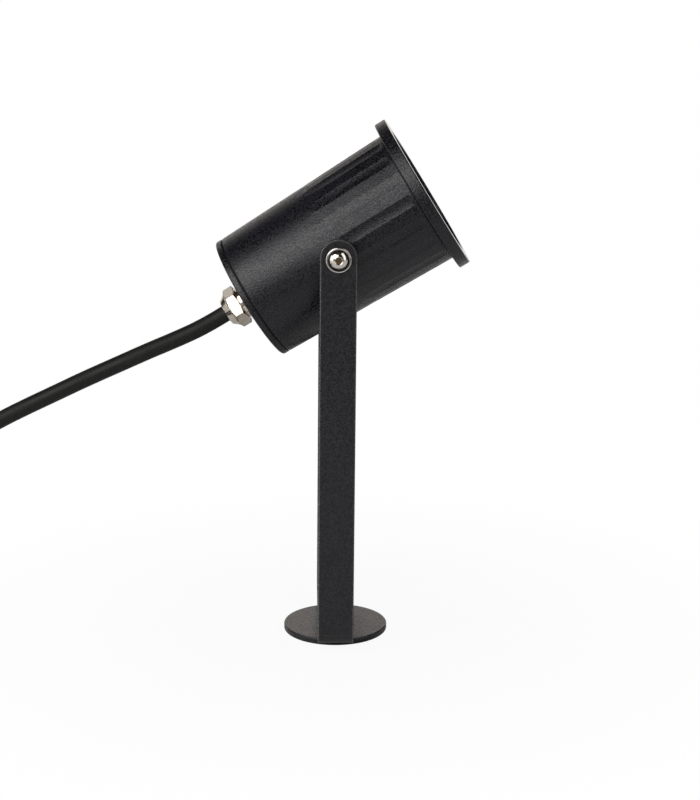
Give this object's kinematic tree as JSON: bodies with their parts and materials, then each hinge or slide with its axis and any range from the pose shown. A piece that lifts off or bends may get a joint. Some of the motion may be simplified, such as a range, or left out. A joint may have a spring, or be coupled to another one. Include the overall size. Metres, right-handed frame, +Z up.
{
  "type": "garden spotlight",
  "caption": "Black outdoor spotlight: a round tilting lamp head in a flat-bar yoke on a small round foot plate, with a screw-on front ring, cable gland and coiled cable.",
  "frame": {"origin": "middle of the foot plate's underside, on the hollow stem's axis", "axes": "+Z up, +X the way the lamp head points, +Y along the pivot axis"},
  "size_m": [0.3911, 0.124, 0.2515],
  "materials": {
    "foot_paint": "satin, fine texture",
    "yoke_paint": "satin black powder coat",
    "housing_paint": "finely textured black powder coat",
    "ring_paint": "finely textured black powder coat",
    "zinc_steel": "zinc plated",
    "stainless_screw": "polished",
    "nickel_brass": "nickel plated, polished",
    "bare_brass": "plain",
    "tinned_copper": "tinned",
    "seal_rubber": "matte",
    "cable_rubber": "matte",
    "dark_fibre": "matte",
    "tie_nylon": "satin",
    "white_ceramic": "glazed",
    "lamp_white": "satin",
    "lamp_lens": "frosted",
    "brown_core": "satin",
    "blue_core": "satin",
    "earth_core": "satin, green and yellow",
    "clear_glass": "clear toughened glass"
  },
  "bodies": {
    "stand": {"foot_plate": "foot_paint", "hollow_stem": "zinc_steel", "spacer_washer": "zinc_steel", "stem_nut": "zinc_steel", "yoke_bracket": "yoke_paint", "cable_run": "cable_rubber", "cable_coil": "cable_rubber", "coil_ties": "tie_nylon", "core_brown_end": "brown_core", "core_blue_end": "blue_core", "core_earth_end": "earth_core", "end_ferrules": "tinned_copper"},
    "head": {"housing": "housing_paint", "back_cover": "housing_paint", "cover_gasket": "seal_rubber", "cover_screws": "stainless_screw", "gland_body": "nickel_brass", "gland_nut": "nickel_brass", "gland_locknut": "nickel_brass", "gland_seal": "seal_rubber", "pivot_screws": "stainless_screw", "friction_washers": "dark_fibre", "holder_plate": "zinc_steel", "plate_screws": "zinc_steel", "lampholder": "white_ceramic", "holder_screws": "zinc_steel", "holder_contacts": "bare_brass", "earth_tag": "bare_brass", "earth_screw": "zinc_steel", "core_brown_inside": "brown_core", "core_blue_inside": "blue_core", "core_earth_inside": "earth_core", "lamp_body": "lamp_white", "lamp_lens": "lamp_lens", "lamp_pins": "zinc_steel", "glass_gasket": "seal_rubber", "cable_stub": "cable_rubber"},
    "glass": {"front_glass": "clear_glass"},
    "ring": {"front_ring": "ring_paint", "ring_seal": "seal_rubber"}
  },
  "joints": [
    {"name": "head_tilt", "type": "hinge", "parent": "stand", "child": "head", "pos_m": [0.00102, 0, 0.1923], "axis": [0, -1, 0], "range_deg": [-90, 58]},
    {"name": "ring_travel", "type": "slide", "parent": "head", "child": "glass", "axis": [0.8522, 0, 0.5232], "range_m": [0, 0.006]},
    {"name": "ring_turn", "type": "hinge", "parent": "glass", "child": "ring", "pos_m": [0.00102, 0, 0.1923], "axis": [0.8522, 0, 0.5232], "range_deg": [0, 1440]}
  ],
  "couplings": [
    {"joint": "ring_travel", "follows": "ring_turn", "m_per_rad": 0.00023873}
  ]
}
